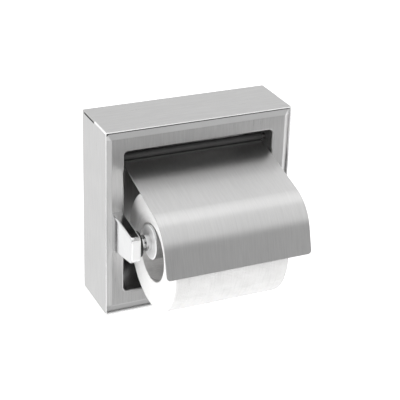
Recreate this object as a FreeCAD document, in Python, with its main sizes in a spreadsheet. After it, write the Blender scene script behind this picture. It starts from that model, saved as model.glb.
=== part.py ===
"""Surface-mounted toilet paper holder with a hood, a spring-loaded roller and a paper roll.

Frame: millimetres, the wall is the plane Y = 0, the object stands out of it towards -Y, Z is up,
and the origin is the centre of the pan's back face, in the middle of the four wall holes.
"""
import FreeCAD
import Part
import Sketcher
import math
import os

# name of the cell, value in millimetres or degrees, what it is
DIMENSIONS = (
    ("box_size", 159.0, "outer width and height of the shell"),
    ("box_depth", 50.8, "depth of the shell from the wall"),
    ("shell_sheet", 0.95, "sheet of the shell"),
    ("shell_fold", 0.8, "outside radius of the shell's long folds"),
    ("shell_return", 12.0, "width of the return flange that lies on the wall"),
    ("slit_length", 25.0, "open end of each upper corner seam"),
    ("slit_width", 0.45, "width of that seam"),
    ("pan_sheet", 0.8, "sheet of the pan"),
    ("pan_inset", 0.5, "front of the flange behind the front edge of the shell"),
    ("pan_gap", 0.35, "gap between the flange's rim and the shell"),
    ("rim_depth", 10.0, "depth of the flange's rim inside the shell"),
    ("bevel_side", 4.2, "width of the bevel along the left and right of the flange"),
    ("bevel_top", 6.2, "width of the bevel along the top and bottom of the flange"),
    ("bevel_drop", 1.1, "how far the bevel falls back"),
    ("opening_width", 127.4, "width of the recess"),
    ("opening_height", 122.3, "height of the recess"),
    ("opening_corner", 3.6, "corner radius of the recess"),
    ("floor_radius", 3.0, "radius between the recess's walls and its floor"),
    ("lip_radius", 1.6, "rounded lip between the flange and the recess"),
    ("wall_hole", 2.5, "radius of a wall hole"),
    ("wall_pitch", 88.9, "spacing of the wall holes both ways"),
    ("bracket_sheet", 1.2, "sheet of the side brackets"),
    ("bracket_reach", 22.0, "length of a bracket's legs"),
    ("bracket_front", 30.0, "distance of a bracket's web from the wall"),
    ("bracket_height", 62.0, "height of a side bracket"),
    ("bracket_pitch", 40.0, "spacing of the two screws of a bracket"),
    ("bracket_screw_depth", 18.0, "distance of those screws from the wall"),
    ("post_outer", 74.0, "outer face of a post from the centre plane"),
    ("post_inner", 65.3, "inner face of a post from the centre plane"),
    ("post_taper", 0.8, "how much narrower the nose is, on the outer face"),
    ("post_reach", 39.5, "how far a post stands out of the flange"),
    ("root_top", 11.1, "top of a post's root above the centre"),
    ("root_bottom", 21.5, "bottom of a post's root below the centre"),
    ("nose_top", 6.8, "top of a post's nose above the centre"),
    ("nose_bottom", 14.6, "bottom of a post's nose below the centre"),
    ("nose_crown", 4.3, "radius of a nose's upper front edge"),
    ("nose_chin", 5.0, "radius of a nose's lower front edge"),
    ("post_edge", 1.4, "radius round a post's outer face"),
    ("post_inner_edge", 0.9, "radius round a post's inner face"),
    ("post_screw_x", 69.6, "post screws from the centre plane"),
    ("post_screw_z", 5.0, "upper post screw above the centre"),
    ("post_screw_pitch", 18.0, "spacing of a post's two screws"),
    ("screw_radius", 2.0, "radius of all the screws' shanks"),
    ("post_screw_length", 9.5, "shank of a post screw"),
    ("thread_depth", 9.0, "depth of a post's threaded holes"),
    ("bracket_screw_length", 6.0, "shank of a bracket screw"),
    ("head_radius", 3.8, "radius of a screw's head"),
    ("head_height", 2.0, "height of a screw's head"),
    ("crown_radius", 1.4, "rounded crown of a screw's head"),
    ("cross_length", 2.1, "half the length of a screw's cross recess"),
    ("cross_width", 0.5, "half the width of that recess"),
    ("cross_depth", 1.2, "depth of that recess"),
    ("thread_gap", 0.03, "radial gap of a screw in its thread"),
    ("hole_gap", 0.3, "radial gap of a screw in a clearance hole"),
    ("washer_radius", 4.3, "radius of a washer"),
    ("washer_gap", 0.15, "radial gap of a washer round its screw"),
    ("washer_height", 0.8, "thickness of a washer"),
    ("axle_y", 79.3, "roller and roll axis in front of the wall"),
    ("axle_z", 3.6, "roller axis below the centre"),
    ("bush_radius", 10.3, "flange radius of a bearing bush"),
    ("bush_thickness", 2.0, "flange thickness of a bearing bush"),
    ("spigot_radius", 4.9, "spigot radius of a bearing bush"),
    ("spigot_length", 4.6, "spigot length of a bearing bush"),
    ("end_gap", 0.1, "gap behind a pushed-in spigot or cap"),
    ("pin_radius", 4.0, "radius of the roller's end pins"),
    ("pin_gap", 0.08, "radial gap of a pin in its socket"),
    ("pin_length", 9.2, "length of an end pin"),
    ("socket_depth", 5.2, "depth of the socket in a bush"),
    ("roller_radius", 13.8, "radius of the roller's sleeve"),
    ("roller_wall", 1.5, "wall of the sleeve and of the plunger"),
    ("roller_gap", 0.08, "radial gap of the plunger in the sleeve"),
    ("hub_radius", 6.6, "radius of the roller's end hubs"),
    ("hub_length", 4.4, "length of an end hub"),
    ("hub_gap", 4.3, "bare length of pin between a hub and its bush"),
    ("sleeve_length", 74.0, "length of the sleeve's barrel"),
    ("sleeve_edge", 0.8, "rounded rim of the sleeve's closed end"),
    ("plunger_start", 20.0, "inner end of the plunger, left of the centre"),
    ("collar_length", 3.0, "length of the plunger's end collar"),
    ("vent_radius", 5.0, "hole in the plunger's inner wall"),
    ("spring_radius", 8.2, "mean radius of the spring"),
    ("spring_wire", 0.6, "radius of the spring's wire"),
    ("spring_turns", 8.0, "turns of the spring"),
    ("spring_gap", 0.15, "gap between the spring's end turns and their seats"),
    ("roll_radius", 47.2, "radius of the paper roll"),
    ("roll_length", 95.0, "length of the paper roll"),
    ("roll_shift", 4.5, "how far the roll sits left of the centre"),
    ("roll_edge", 1.2, "rounded outer edge of the roll"),
    ("core_radius", 23.6, "inner radius of the cardboard core"),
    ("core_wall", 0.6, "wall of the cardboard core"),
    ("core_gap", 0.05, "gap between the core and the innermost paper"),
    ("hang_gap", 0.3, "gap between the roller's top and the core"),
    ("rod_radius", 2.0, "radius of the hinge rod"),
    ("rod_y", 35.3, "hinge rod in front of the wall"),
    ("rod_z", 50.45, "hinge rod above the centre"),
    ("rod_overhang", 3.0, "how far the rod stands out of the pan's side walls"),
    ("rod_end", 0.4, "chamfer of the rod's ends"),
    ("rod_gap", 0.08, "radial gap of the rod in the hood's curl and in the pan"),
    ("cap_radius", 4.2, "radius of a rod cap"),
    ("cap_height", 3.4, "height of a rod cap"),
    ("cap_edge", 1.0, "rounded edge of a rod cap"),
    ("hood_width", 121.4, "width of the hood"),
    ("hood_sheet", 0.9, "sheet of the hood"),
    ("hood_slope", 14.4, "fall of the hood's roof towards the front, in degrees"),
    ("hood_lean", 15.9, "lean of the hood's apron from the vertical, in degrees"),
    ("hood_bend", 31.55, "radius of the bend, at the middle of the sheet"),
    ("roof_length", 68.6, "flat of the hood's roof, from the curl to the bend"),
    ("apron_length", 20.7, "flat of the hood's apron below the bend"),
    ("curl_turn", 295.0, "how far the curl goes round the rod, in degrees"),
    ("hood_corner", 3.0, "radius of the apron's lower corners"),
)

# two places nearer than this, in millimetres, are one
SAME_PLACE = 0.01
# a straight edge whose direction has at least this share along an axis runs along it
ALONG_AXIS = 0.999


class Size:
    """A size with its number and the spreadsheet formula that gives it."""

    def __init__(self, number, formula):
        self.number = number
        self.formula = formula

    def __add__(self, other):
        other = size_of(other)
        return Size(self.number + other.number, f"({self.formula} + {other.formula})")

    def __sub__(self, other):
        other = size_of(other)
        return Size(self.number - other.number, f"({self.formula} - {other.formula})")

    def __mul__(self, other):
        other = size_of(other)
        return Size(self.number * other.number, f"({self.formula} * {other.formula})")

    def __truediv__(self, other):
        other = size_of(other)
        return Size(self.number / other.number, f"({self.formula} / {other.formula})")

    def __neg__(self):
        return Size(-self.number, f"(-1 * {self.formula})")

    __rmul__ = __mul__


def size_of(value):
    return value if isinstance(value, Size) else Size(float(value), repr(float(value)))


def sine(angle):
    return Size(math.sin(math.radians(angle.number)), f"sin({angle.formula} * 1 deg)")


def cosine(angle):
    return Size(math.cos(math.radians(angle.number)), f"cos({angle.formula} * 1 deg)")


class Dimensions:
    """The driving dimensions, one named cell each, read back as sizes."""

    def __init__(self, doc):
        sheet = doc.addObject("Spreadsheet::Sheet", "Dimensions")
        for row, (name, value, note) in enumerate(DIMENSIONS, start=1):
            sheet.set(f"A{row}", name)
            sheet.set(f"B{row}", str(value))
            sheet.set(f"C{row}", note)
            sheet.setAlias(f"B{row}", name)
            setattr(self, name, Size(value, f"Dimensions.{name}"))
        doc.recompute()


def bind(thing, prop, value):
    """Tie a property of an object to the spreadsheet."""
    thing.setExpression(prop, size_of(value).formula)


def place(thing, x=0, y=0, z=0):
    """Tie an object's place to the spreadsheet."""
    for letter, value in zip("xyz", (x, y, z)):
        bind(thing, f"Placement.Base.{letter}", value)


def turn(thing, axis, degrees):
    """Turn an object about its own origin, its place staying on the spreadsheet."""
    thing.Placement = FreeCAD.Placement(thing.Placement.Base, FreeCAD.Rotation(FreeCAD.Vector(*axis), degrees))


X_AXIS = (1, 0, 0)
Y_AXIS = (0, 1, 0)


# ---------------------------------------------------------------- sketches and bodies


def new_body(doc, name):
    body = doc.addObject("PartDesign::Body", name)
    body.Label = name
    return body


def new_sketch(body, name, plane, offset=0):
    """A sketch on one of the body's own planes, moved along that plane's normal.

    The normals are +X for YZ_Plane, -Y for XZ_Plane and +Z for XY_Plane.
    """
    sketch = body.newObject("Sketcher::SketchObject", name)
    support = [item for item in body.Origin.OriginFeatures if item.Role == plane][0]
    sketch.AttachmentSupport = [(support, "")]
    sketch.MapMode = "FlatFace"
    bind(sketch, "AttachmentOffset.Base.z", offset)
    return sketch


def constrain(sketch, kind, *where, value=None):
    if value is None:
        return sketch.addConstraint(Sketcher.Constraint(kind, *where))
    index = sketch.addConstraint(Sketcher.Constraint(kind, *where, value.number))
    sketch.setExpression(f"Constraints[{index}]", value.formula)
    return index


def pin(sketch, edge, end, point):
    """Hold one end of an edge at a point given in sizes."""
    constrain(sketch, "DistanceX", -1, 1, edge, end, value=size_of(point[0]))
    constrain(sketch, "DistanceY", -1, 1, edge, end, value=size_of(point[1]))


def vector(point):
    return FreeCAD.Vector(size_of(point[0]).number, size_of(point[1]).number, 0)


def outline(sketch, corners):
    """A closed outline of straight edges through the corners."""
    count = len(corners)
    for index in range(count):
        start = vector(corners[index])
        end = vector(corners[(index + 1) % count])
        sketch.addGeometry(Part.LineSegment(start, end), False)
    for index in range(count):
        constrain(sketch, "Coincident", index, 2, (index + 1) % count, 1)
        pin(sketch, index, 1, corners[index])


def rectangle(sketch, left, right, low, high):
    outline(sketch, [(left, low), (right, low), (right, high), (left, high)])


def circle(sketch, centre, radius):
    radius = size_of(radius)
    edge = sketch.addGeometry(Part.Circle(vector(centre), FreeCAD.Vector(0, 0, 1), radius.number), False)
    pin(sketch, edge, 3, centre)
    constrain(sketch, "Radius", edge, value=radius)


def arc_edge(sketch, centre, start, end, radius, clockwise=False):
    """An arc from start to end about a centre; its ends are held by the edges beside it."""
    middle = vector(centre)
    first, last = (end, start) if clockwise else (start, end)
    angles = [math.atan2(*reversed(list(vector(point) - middle)[:2])) for point in (first, last)]
    if angles[1] <= angles[0]:
        angles[1] += 2 * math.pi
    ring = Part.Circle(middle, FreeCAD.Vector(0, 0, 1), radius.number)
    edge = sketch.addGeometry(Part.ArcOfCircle(ring, *angles), False)
    constrain(sketch, "Radius", edge, value=radius)
    return edge


def pad(body, sketch, length, reversed_=False, both_ways=False):
    feature = body.newObject("PartDesign::Pad", sketch.Name + "_pad")
    feature.Profile = sketch
    bind(feature, "Length", length)
    feature.Reversed = reversed_
    feature.Midplane = both_ways
    sketch.Visibility = False
    return feature


def pocket(doc, body, sketch, length, reversed_=False, both_ways=False):
    """A pocket that has to take material away."""
    doc.recompute()
    before = body.Shape.Volume
    feature = body.newObject("PartDesign::Pocket", sketch.Name + "_pocket")
    feature.Profile = sketch
    bind(feature, "Length", length)
    feature.Reversed = reversed_
    feature.Midplane = both_ways
    doc.recompute()
    if body.Shape.Volume > before - SAME_PLACE**3:
        raise RuntimeError(f"{feature.Name} cuts nothing")
    return feature


def revolve(body, sketch):
    """A turned shape about the body's X axis."""
    feature = body.newObject("PartDesign::Revolution", sketch.Name + "_turned")
    feature.Profile = sketch
    feature.ReferenceAxis = (sketch, ["H_Axis"])
    feature.Angle = 360
    return feature


def edge_names(shape, chosen):
    return [f"Edge{index}" for index, edge in enumerate(shape.Edges, start=1) if chosen(edge)]


def round_edges(doc, body, name, chosen, radius):
    """Round the edges of the body's tip that the test picks out."""
    doc.recompute()
    tip = body.Tip
    names = edge_names(tip.Shape, chosen)
    if not names:
        raise RuntimeError(f"{name} finds no edge")
    feature = body.newObject("PartDesign::Fillet", name)
    feature.Base = (tip, names)
    bind(feature, "Radius", radius)
    return feature


def near(value, target):
    return abs(value - size_of(target).number) < SAME_PLACE


def runs_along(edge, axis):
    """True for a straight edge along an axis: 0 for X, 1 for Y, 2 for Z."""
    if edge.Curve.TypeId != "Part::GeomLine":
        return False
    return abs(edge.tangentAt(edge.FirstParameter)[axis]) > ALONG_AXIS


def is_circle(edge, radius):
    return edge.Curve.TypeId == "Part::GeomCircle" and near(edge.Curve.Radius, radius)


# ---------------------------------------------------------------- Part primitives


def box(doc, name, low, high):
    """A box between two corners given in sizes."""
    solid = doc.addObject("Part::Box", name)
    place(solid, *low)
    for prop, start, end in zip(("Length", "Width", "Height"), low, high):
        bind(solid, prop, size_of(end) - size_of(start))
    return solid


def cylinder(doc, name, radius, length, base, axis):
    """A cylinder from its base along X, Y or their opposites."""
    solid = doc.addObject("Part::Cylinder", name)
    bind(solid, "Radius", radius)
    bind(solid, "Height", length)
    turns = {"+X": (Y_AXIS, 90), "-X": (Y_AXIS, -90), "+Y": (X_AXIS, -90), "-Y": (X_AXIS, 90)}
    turn(solid, *turns[axis])
    place(solid, *base)
    return solid


def cut(doc, name, base, tool):
    feature = doc.addObject("Part::Cut", name)
    feature.Base = base
    feature.Tool = tool
    return feature


def group(doc, kind, name, members):
    """Several shapes as one: Part::MultiFuse joins them, Part::Compound keeps them apart."""
    feature = doc.addObject(kind, name)
    if kind == "Part::Compound":
        feature.Links = members
    else:
        feature.Shapes = members
    return feature


def rounded(doc, name, base, chosen_radii):
    """Round edges of a Part shape; chosen_radii is a list of (test, size)."""
    doc.recompute()
    feature = doc.addObject("Part::Fillet", name)
    feature.Base = base
    edges = []
    for chosen, radius in chosen_radii:
        for index, edge in enumerate(base.Shape.Edges, start=1):
            if chosen(edge):
                edges.append((index, radius.number, radius.number))
    if not edges:
        raise RuntimeError(f"{name} finds no edge")
    feature.Edges = edges
    return feature


# ---------------------------------------------------------------- housing


def make_shell(doc, d):
    """Square collar of folded sheet with return flanges on the wall."""
    body = new_body(doc, "housing_shell")
    half = d.box_size / 2
    outside = new_sketch(body, "shell_outside", "XZ_Plane")
    rectangle(outside, -half, half, -half, half)
    pad(body, outside, d.box_depth)
    round_edges(doc, body, "shell_folds", lambda edge: runs_along(edge, 1), d.shell_fold)

    inside_half = half - d.shell_sheet
    inside = new_sketch(body, "shell_inside", "XZ_Plane", d.shell_sheet)
    rectangle(inside, -inside_half, inside_half, -inside_half, inside_half)
    pocket(doc, body, inside, d.box_depth, reversed_=True)

    window_half = half - d.shell_return
    window = new_sketch(body, "shell_window", "XZ_Plane")
    rectangle(window, -window_half, window_half, -window_half, window_half)
    pocket(doc, body, window, d.shell_sheet, reversed_=True)

    slit_top = half - d.shell_sheet
    for side, name in ((-1, "left"), (1, "right")):
        slit = new_sketch(body, f"{name}_corner_slit", "XZ_Plane")
        edges = sorted([side * half, side * (half - d.shell_sheet)], key=lambda size: size.number)
        rectangle(slit, edges[0], edges[1], slit_top - d.slit_width, slit_top)
        pocket(doc, body, slit, d.slit_length, reversed_=True)
    return body


def bevelled_block(doc, name, d, inward):
    """The flange's block, its front edge bevelled; inward shrinks it to the inside of the sheet."""
    front = -(d.box_depth - d.pan_inset) + inward
    half = d.box_size / 2 - d.shell_sheet - d.pan_gap
    slope_end = front + d.bevel_drop
    rim_half = half - inward
    rim = box(doc, name + "_rim", (-rim_half, slope_end, -rim_half), (rim_half, slope_end + d.rim_depth, rim_half))
    slope = doc.addObject("Part::Wedge", name + "_bevel")
    limits = {
        "Ymin": front,
        "Ymax": slope_end,
        "Xmin": -(half - d.bevel_side),
        "Xmax": half - d.bevel_side,
        "Zmin": -(half - d.bevel_top),
        "Zmax": half - d.bevel_top,
        "X2min": -rim_half,
        "X2max": rim_half,
        "Z2min": -rim_half,
        "Z2max": rim_half,
    }
    for prop, value in limits.items():
        bind(slope, prop, value)
    return group(doc, "Part::MultiFuse", name, [rim, slope])


def rounded_block(doc, name, d, outward, back, front):
    """A block the size of the recess, with its long edges and its back edges rounded."""
    wide = d.opening_width / 2 + outward
    high = d.opening_height / 2 + outward
    block = box(doc, name + "_block", (-wide, front, -high), (wide, back, high))

    def is_back_edge(edge):
        return all(near(vertex.Y, back) for vertex in edge.Vertexes)

    return rounded(
        doc,
        name,
        block,
        [
            (lambda edge: runs_along(edge, 1), d.opening_corner + outward),
            (is_back_edge, d.floor_radius + outward),
        ],
    )


def make_pan(doc, d):
    """One-piece drawn pan: bevelled flange, rounded lip, recess walls and floor."""
    flange_front = -(d.box_depth - d.pan_inset)
    flange = cut(
        doc,
        "flange_sheet",
        bevelled_block(doc, "flange_outside", d, size_of(0)),
        bevelled_block(doc, "flange_inside", d, d.pan_sheet),
    )
    well = rounded_block(doc, "well_outside", d, d.pan_sheet, size_of(0), flange_front + d.pan_sheet / 2)
    space = rounded_block(doc, "well_inside", d, size_of(0), -d.pan_sheet, flange_front - d.rim_depth)
    solid = group(doc, "Part::MultiFuse", "pan_solid", [flange, well])
    sheet = cut(doc, "pan_sheet_metal", solid, space)

    lip_reach = (d.opening_width / 2).number + SAME_PLACE
    lip_height = (d.opening_height / 2).number + SAME_PLACE

    def is_lip(edge):
        at_front = all(near(vertex.Y, flange_front) for vertex in edge.Vertexes)
        inside = all(abs(v.X) < lip_reach and abs(v.Z) < lip_height for v in edge.Vertexes)
        return at_front and inside

    lip = rounded(doc, "pan_lip", sheet, [(is_lip, d.lip_radius)])
    pan = cut(doc, "recess_pan", lip, group(doc, "Part::Compound", "pan_holes", pan_hole_tools(doc, d)))
    pan.Label = "recess_pan"
    return pan


def pan_hole_tools(doc, d):
    """Cylinders for the wall holes, the post screws, the bracket screws and the hinge rod."""
    tools = []
    pitch = d.wall_pitch / 2
    clearance = d.screw_radius + d.hole_gap
    side_wall = d.opening_width / 2
    behind_flange = -(d.box_depth - d.pan_inset) + d.pan_sheet * 2
    for column in (-1, 1):
        for row in (-1, 1):
            name = f"wall_hole_{len(tools)}"
            base = (column * pitch, d.pan_sheet, row * pitch)
            tools.append(cylinder(doc, name, d.wall_hole, d.pan_sheet * 3, base, "-Y"))
        for row in (0, 1):
            name = f"flange_hole_{len(tools)}"
            base = (column * d.post_screw_x, behind_flange, d.post_screw_z - row * d.post_screw_pitch)
            tools.append(cylinder(doc, name, clearance, d.pan_sheet * 4, base, "-Y"))
        for row in (-1, 1):
            name = f"side_hole_{len(tools)}"
            base = (column * (side_wall - 2 * d.pan_sheet), -d.bracket_screw_depth, row * d.bracket_pitch / 2)
            direction = "+X" if column > 0 else "-X"
            tools.append(cylinder(doc, name, clearance, d.pan_sheet * 4, base, direction))
    rod_reach = d.opening_width / 2 + 2 * d.pan_sheet
    rod_hole = d.rod_radius + d.rod_gap
    tools.append(cylinder(doc, "rod_hole", rod_hole, rod_reach * 2, (-rod_reach, -d.rod_y, d.rod_z), "+X"))
    return tools


def make_side_bracket(doc, d, side, name):
    """Channel spot-welded to the shell's side wall; its other leg takes the pan's screws."""
    body = new_body(doc, name)
    outer = side * (d.box_size / 2 - d.shell_sheet)
    inner = side * (d.opening_width / 2 + d.pan_sheet)
    sheet = side * d.bracket_sheet
    web_front = -d.bracket_front
    web_back = web_front + d.bracket_sheet
    leg_end = web_front + d.bracket_reach
    section = new_sketch(body, name + "_section", "XY_Plane")
    outline(
        section,
        [
            (outer, web_front),
            (inner, web_front),
            (inner, leg_end),
            (inner + sheet, leg_end),
            (inner + sheet, web_back),
            (outer - sheet, web_back),
            (outer - sheet, leg_end),
            (outer, leg_end),
        ],
    )
    pad(body, section, d.bracket_height, both_ways=True)
    holes = new_sketch(body, name + "_holes", "YZ_Plane", inner)
    for row in (-1, 1):
        circle(holes, (-d.bracket_screw_depth, row * d.bracket_pitch / 2), d.screw_radius + d.thread_gap)
    pocket(doc, body, holes, d.bracket_sheet * 2, both_ways=True)
    return body


def screw(doc, name, d, base, direction, length):
    """Round-headed screw: the head stands behind its base, the shank runs along the direction."""
    back = {"+X": "-X", "-X": "+X", "+Y": "-Y", "-Y": "+Y"}[direction]
    head = cylinder(doc, name + "_blank", d.head_radius, d.head_height, base, back)
    axis = 0 if "X" in direction else 1
    sign = -1 if direction[0] == "+" else 1
    top = base[axis] + sign * d.head_height

    def is_top(edge):
        return all(near(vertex.Point[axis], top) for vertex in edge.Vertexes)

    crown = rounded(doc, name + "_head", head, [(is_top, d.crown_radius)])
    shank = cylinder(doc, name + "_shank", d.screw_radius, length, base, direction)
    return cut_cross(doc, name, d, group(doc, "Part::MultiFuse", name + "_solid", [crown, shank]), base, back)


def cut_cross(doc, name, d, blank, base, back):
    """Cross recess in the crown of a screw's head."""
    axis = 0 if "X" in back else 1
    sign = 1 if back[0] == "+" else -1
    top = base[axis] + sign * d.head_height
    depths = sorted((top, top - sign * d.cross_depth), key=lambda size: size.number)
    tools = []
    for number, (beside, tall) in enumerate(((d.cross_length, d.cross_width), (d.cross_width, d.cross_length))):
        low = [base[0] - beside, base[1] - beside, base[2] - tall]
        high = [base[0] + beside, base[1] + beside, base[2] + tall]
        low[axis], high[axis] = depths
        tools.append(box(doc, f"{name}_slot_{number}", low, high))
    cross = group(doc, "Part::MultiFuse", name + "_cross", tools)
    return cut(doc, name, blank, cross)


def make_bracket_screws(doc, d, side, name):
    """Two screws from inside the recess into a side bracket."""
    wall = side * d.opening_width / 2
    direction = "+X" if side > 0 else "-X"
    screws = []
    for row in (-1, 1):
        base = (wall, -d.bracket_screw_depth, row * d.bracket_pitch / 2)
        screws.append(screw(doc, f"{name}_{len(screws)}", d, base, direction, d.bracket_screw_length))
    node = group(doc, "Part::Compound", name, screws)
    node.Label = name
    return node


# ---------------------------------------------------------------- posts


def make_post(doc, d, side, name):
    """Die-cast post: its side view padded across, tapered outside, bored for the bush and screws."""
    body = new_body(doc, name)
    root = -(d.box_depth - d.pan_inset)
    nose = root - d.post_reach
    inner = side * d.post_inner
    outer = side * d.post_outer
    view = new_sketch(body, name + "_side_view", "YZ_Plane", inner)
    outline(view, [(root, d.root_top), (nose, d.nose_top), (nose, -d.nose_bottom), (root, -d.root_bottom)])
    pad(body, view, d.post_outer - d.post_inner, reversed_=side < 0)

    def at_nose(edge):
        return runs_along(edge, 0) and all(near(vertex.Y, nose) for vertex in edge.Vertexes)

    def is_crown(edge):
        return at_nose(edge) and edge.Vertexes[0].Z > 0

    def is_chin(edge):
        return at_nose(edge) and edge.Vertexes[0].Z < 0

    round_edges(doc, body, name + "_crown", is_crown, d.nose_crown)
    round_edges(doc, body, name + "_chin", is_chin, d.nose_chin)
    taper = new_sketch(body, name + "_taper", "XY_Plane")
    outline(taper, [(outer, root), (outer, nose), (outer - side * d.post_taper, nose)])
    pocket(doc, body, taper, d.root_bottom * 4, both_ways=True)

    def is_inner(edge):
        on_face = all(near(vertex.X, inner) for vertex in edge.Vertexes)
        return on_face and not all(near(vertex.Y, root) for vertex in edge.Vertexes)

    def is_outer(edge):
        return all(abs(vertex.X) > outer_reach for vertex in edge.Vertexes) and not runs_along(edge, 2)

    outer_reach = (d.post_outer - d.post_taper).number - SAME_PLACE
    round_edges(doc, body, name + "_inner_edge", is_inner, d.post_inner_edge)
    round_edges(doc, body, name + "_outer_edge", is_outer, d.post_edge)
    seat = new_sketch(body, name + "_bush_seat", "YZ_Plane", inner)
    circle(seat, (-d.axle_y, -d.axle_z), d.spigot_radius + d.thread_gap)
    pocket(doc, body, seat, d.spigot_length + d.end_gap, reversed_=side > 0)
    threads = new_sketch(body, name + "_threads", "XZ_Plane", -root)
    for row in (0, 1):
        centre = (side * d.post_screw_x, d.post_screw_z - row * d.post_screw_pitch)
        circle(threads, centre, d.screw_radius + d.thread_gap)
    pocket(doc, body, threads, d.thread_depth, reversed_=True)
    return body


def make_bush(doc, d, side, name):
    """Bearing bush: flange against the post, spigot in the post, blind socket for the roller's pin."""
    body = new_body(doc, name)
    place(body, side * d.post_inner, -d.axle_y, -d.axle_z)
    face = -side * d.bush_thickness
    end = side * d.spigot_length
    socket_end = face + side * d.socket_depth
    socket = d.pin_radius + d.pin_gap
    section = new_sketch(body, name + "_section", "XY_Plane")
    outline(
        section,
        [
            (face, socket),
            (face, d.bush_radius),
            (size_of(0), d.bush_radius),
            (size_of(0), d.spigot_radius),
            (end, d.spigot_radius),
            (end, size_of(0)),
            (socket_end, size_of(0)),
            (socket_end, socket),
        ],
    )
    revolve(body, section)
    return body


def make_post_screws(doc, d, side, name):
    """Two screws through washers and flange into a post's root."""
    back_of_flange = -(d.box_depth - d.pan_inset) + d.pan_sheet + d.washer_height
    screws = []
    for row in (0, 1):
        base = (side * d.post_screw_x, back_of_flange, d.post_screw_z - row * d.post_screw_pitch)
        screws.append(screw(doc, f"{name}_{row}", d, base, "-Y", d.post_screw_length))
    node = group(doc, "Part::Compound", name, screws)
    node.Label = name
    return node


def make_post_washers(doc, d, side, name):
    back_of_flange = -(d.box_depth - d.pan_inset) + d.pan_sheet
    hole = d.screw_radius + d.washer_gap
    washers = []
    for row in (0, 1):
        base = (side * d.post_screw_x, back_of_flange, d.post_screw_z - row * d.post_screw_pitch)
        disc = cylinder(doc, f"{name}_disc_{row}", d.washer_radius, d.washer_height, base, "+Y")
        bore = cylinder(doc, f"{name}_bore_{row}", hole, d.washer_height, base, "+Y")
        washers.append(cut(doc, f"{name}_{row}", disc, bore))
    node = group(doc, "Part::Compound", name, washers)
    node.Label = name
    return node


# ---------------------------------------------------------------- hood and its rod


def make_rod(doc, d):
    """Hinge rod through the pan's side walls, with chamfered ends."""
    half = d.opening_width / 2 + d.pan_sheet + d.rod_overhang
    blank = cylinder(doc, "rod_blank", d.rod_radius, half * 2, (-half, -d.rod_y, d.rod_z), "+X")
    doc.recompute()
    rod = doc.addObject("Part::Chamfer", "hinge_rod")
    rod.Base = blank
    rims = [index for index, edge in enumerate(blank.Shape.Edges, start=1) if len(edge.Vertexes) == 1]
    rod.Edges = [(index, d.rod_end.number, d.rod_end.number) for index in rims]
    rod.Label = "hinge_rod"
    return rod


def make_rod_cap(doc, d, side, name):
    """Push-on cap that grips the end of the rod outside the pan."""
    wall = side * (d.opening_width / 2 + d.pan_sheet + d.end_gap)
    direction = "+X" if side > 0 else "-X"
    base = (wall, -d.rod_y, d.rod_z)
    blank = cylinder(doc, name + "_blank", d.cap_radius, d.cap_height, base, direction)
    end = wall + side * d.cap_height
    dome = rounded(
        doc,
        name + "_dome",
        blank,
        [(lambda edge: all(near(vertex.X, end) for vertex in edge.Vertexes), d.cap_edge)],
    )
    grip = d.rod_radius + d.thread_gap
    bore = cylinder(doc, name + "_bore", grip, d.rod_overhang, base, direction)
    cap = cut(doc, name, dome, bore)
    cap.Label = name
    return cap


def make_hood(doc, d):
    """Hood: a strip of sheet led up the apron, round the bend, along the roof and round the rod.

    The body's own frame has the apron's lower edge at its origin and the apron along +Z, and the
    body leans back into place, so that the curl's centre comes out on the hinge rod.
    """
    body = new_body(doc, "hood")
    turned = size_of(90) - d.hood_slope - d.hood_lean
    forward = (sine(turned), cosine(turned))
    normal = (-cosine(turned), sine(turned))
    curl = d.rod_radius + d.rod_gap + d.hood_sheet / 2

    apron_top = (size_of(0), d.apron_length)
    bend_centre = (d.hood_bend, d.apron_length)
    roof_start = (d.hood_bend - d.hood_bend * cosine(turned), d.apron_length + d.hood_bend * sine(turned))
    roof_end = (roof_start[0] + d.roof_length * forward[0], roof_start[1] + d.roof_length * forward[1])
    rod_centre = (roof_end[0] + curl * normal[0], roof_end[1] + curl * normal[1])
    last = d.curl_turn
    curl_end = (
        rod_centre[0] + curl * (sine(last) * forward[0] - cosine(last) * normal[0]),
        rod_centre[1] + curl * (sine(last) * forward[1] - cosine(last) * normal[1]),
    )

    path = new_sketch(body, "hood_path", "YZ_Plane")
    path.addGeometry(Part.LineSegment(FreeCAD.Vector(0, 0, 0), vector(apron_top)), False)
    path.addGeometry(Part.LineSegment(vector(roof_start), vector(roof_end)), False)
    pin(path, 0, 1, (0, 0))
    pin(path, 0, 2, apron_top)
    pin(path, 1, 1, roof_start)
    pin(path, 1, 2, roof_end)
    bend = arc_edge(path, bend_centre, apron_top, roof_start, d.hood_bend, clockwise=True)
    constrain(path, "Coincident", 0, 2, bend, 2)
    constrain(path, "Coincident", bend, 1, 1, 1)
    roll_up = arc_edge(path, rod_centre, roof_end, curl_end, curl)
    constrain(path, "Coincident", 1, 2, roll_up, 1)
    pin(path, roll_up, 2, curl_end)

    section = new_sketch(body, "hood_section", "XY_Plane")
    wide = d.hood_width / 2
    thick = d.hood_sheet / 2
    rectangle(section, -wide, wide, -thick, thick)
    strip = body.newObject("PartDesign::AdditivePipe", "hood_strip")
    strip.Profile = section
    strip.Spine = path
    strip.Mode = "Binormal"
    strip.Binormal = FreeCAD.Vector(1, 0, 0)
    round_edges(
        doc,
        body,
        "hood_corners",
        lambda edge: runs_along(edge, 1) and all(near(vertex.Z, 0) for vertex in edge.Vertexes),
        d.hood_corner,
    )

    lean = d.hood_lean
    turn(body, X_AXIS, -lean.number)
    place(
        body,
        0,
        -d.rod_y - (rod_centre[0] * cosine(lean) + rod_centre[1] * sine(lean)),
        d.rod_z - (rod_centre[1] * cosine(lean) - rod_centre[0] * sine(lean)),
    )
    return body


# ---------------------------------------------------------------- roller and roll


def roller_end(d):
    """Distance of a hub's outer face from the centre plane."""
    return d.post_inner - d.bush_thickness - d.hub_gap


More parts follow.
